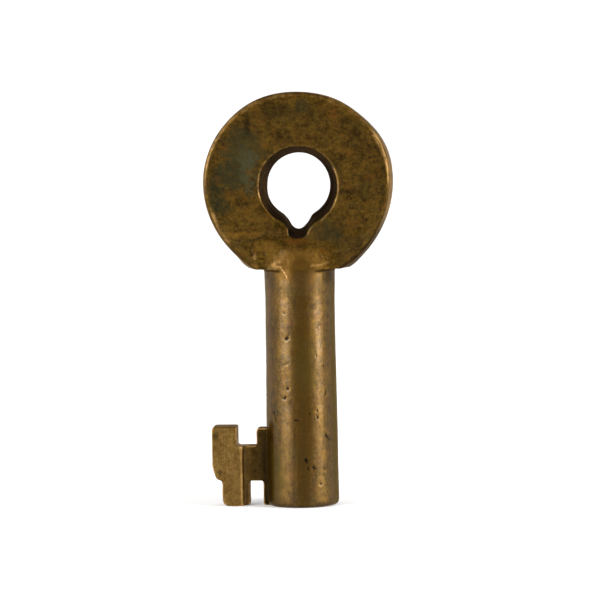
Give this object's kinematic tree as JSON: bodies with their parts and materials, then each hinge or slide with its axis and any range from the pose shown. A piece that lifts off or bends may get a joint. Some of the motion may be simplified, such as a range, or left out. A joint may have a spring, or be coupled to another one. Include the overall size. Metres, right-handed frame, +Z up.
{
  "type": "railroad switch key",
  "caption": "Hollow-barrel switch key: a round bow with a tear-drop eye, a bored barrel that slips over a lock's post, and a stepped bit with ward cuts.",
  "frame": {"origin": "centre of the barrel's open end, which the key stands on", "axes": "+Z up along the barrel towards the bow, -Y out of the bow's front face, -X towards the bit"},
  "size_m": [0.0248, 0.0092, 0.0539],
  "materials": {
    "bow_brass": "aged and mottled, worn bright at the edges",
    "barrel_brass": "handled smooth, with small pits",
    "bit_brass": "filed, with worn edges",
    "braze": "dull, as it ran"
  },
  "bodies": {
    "root": {"bow": "bow_brass", "barrel": "barrel_brass", "bit": "bit_brass", "bow_braze": "braze", "bit_braze": "braze"}
  },
  "joints": []
}
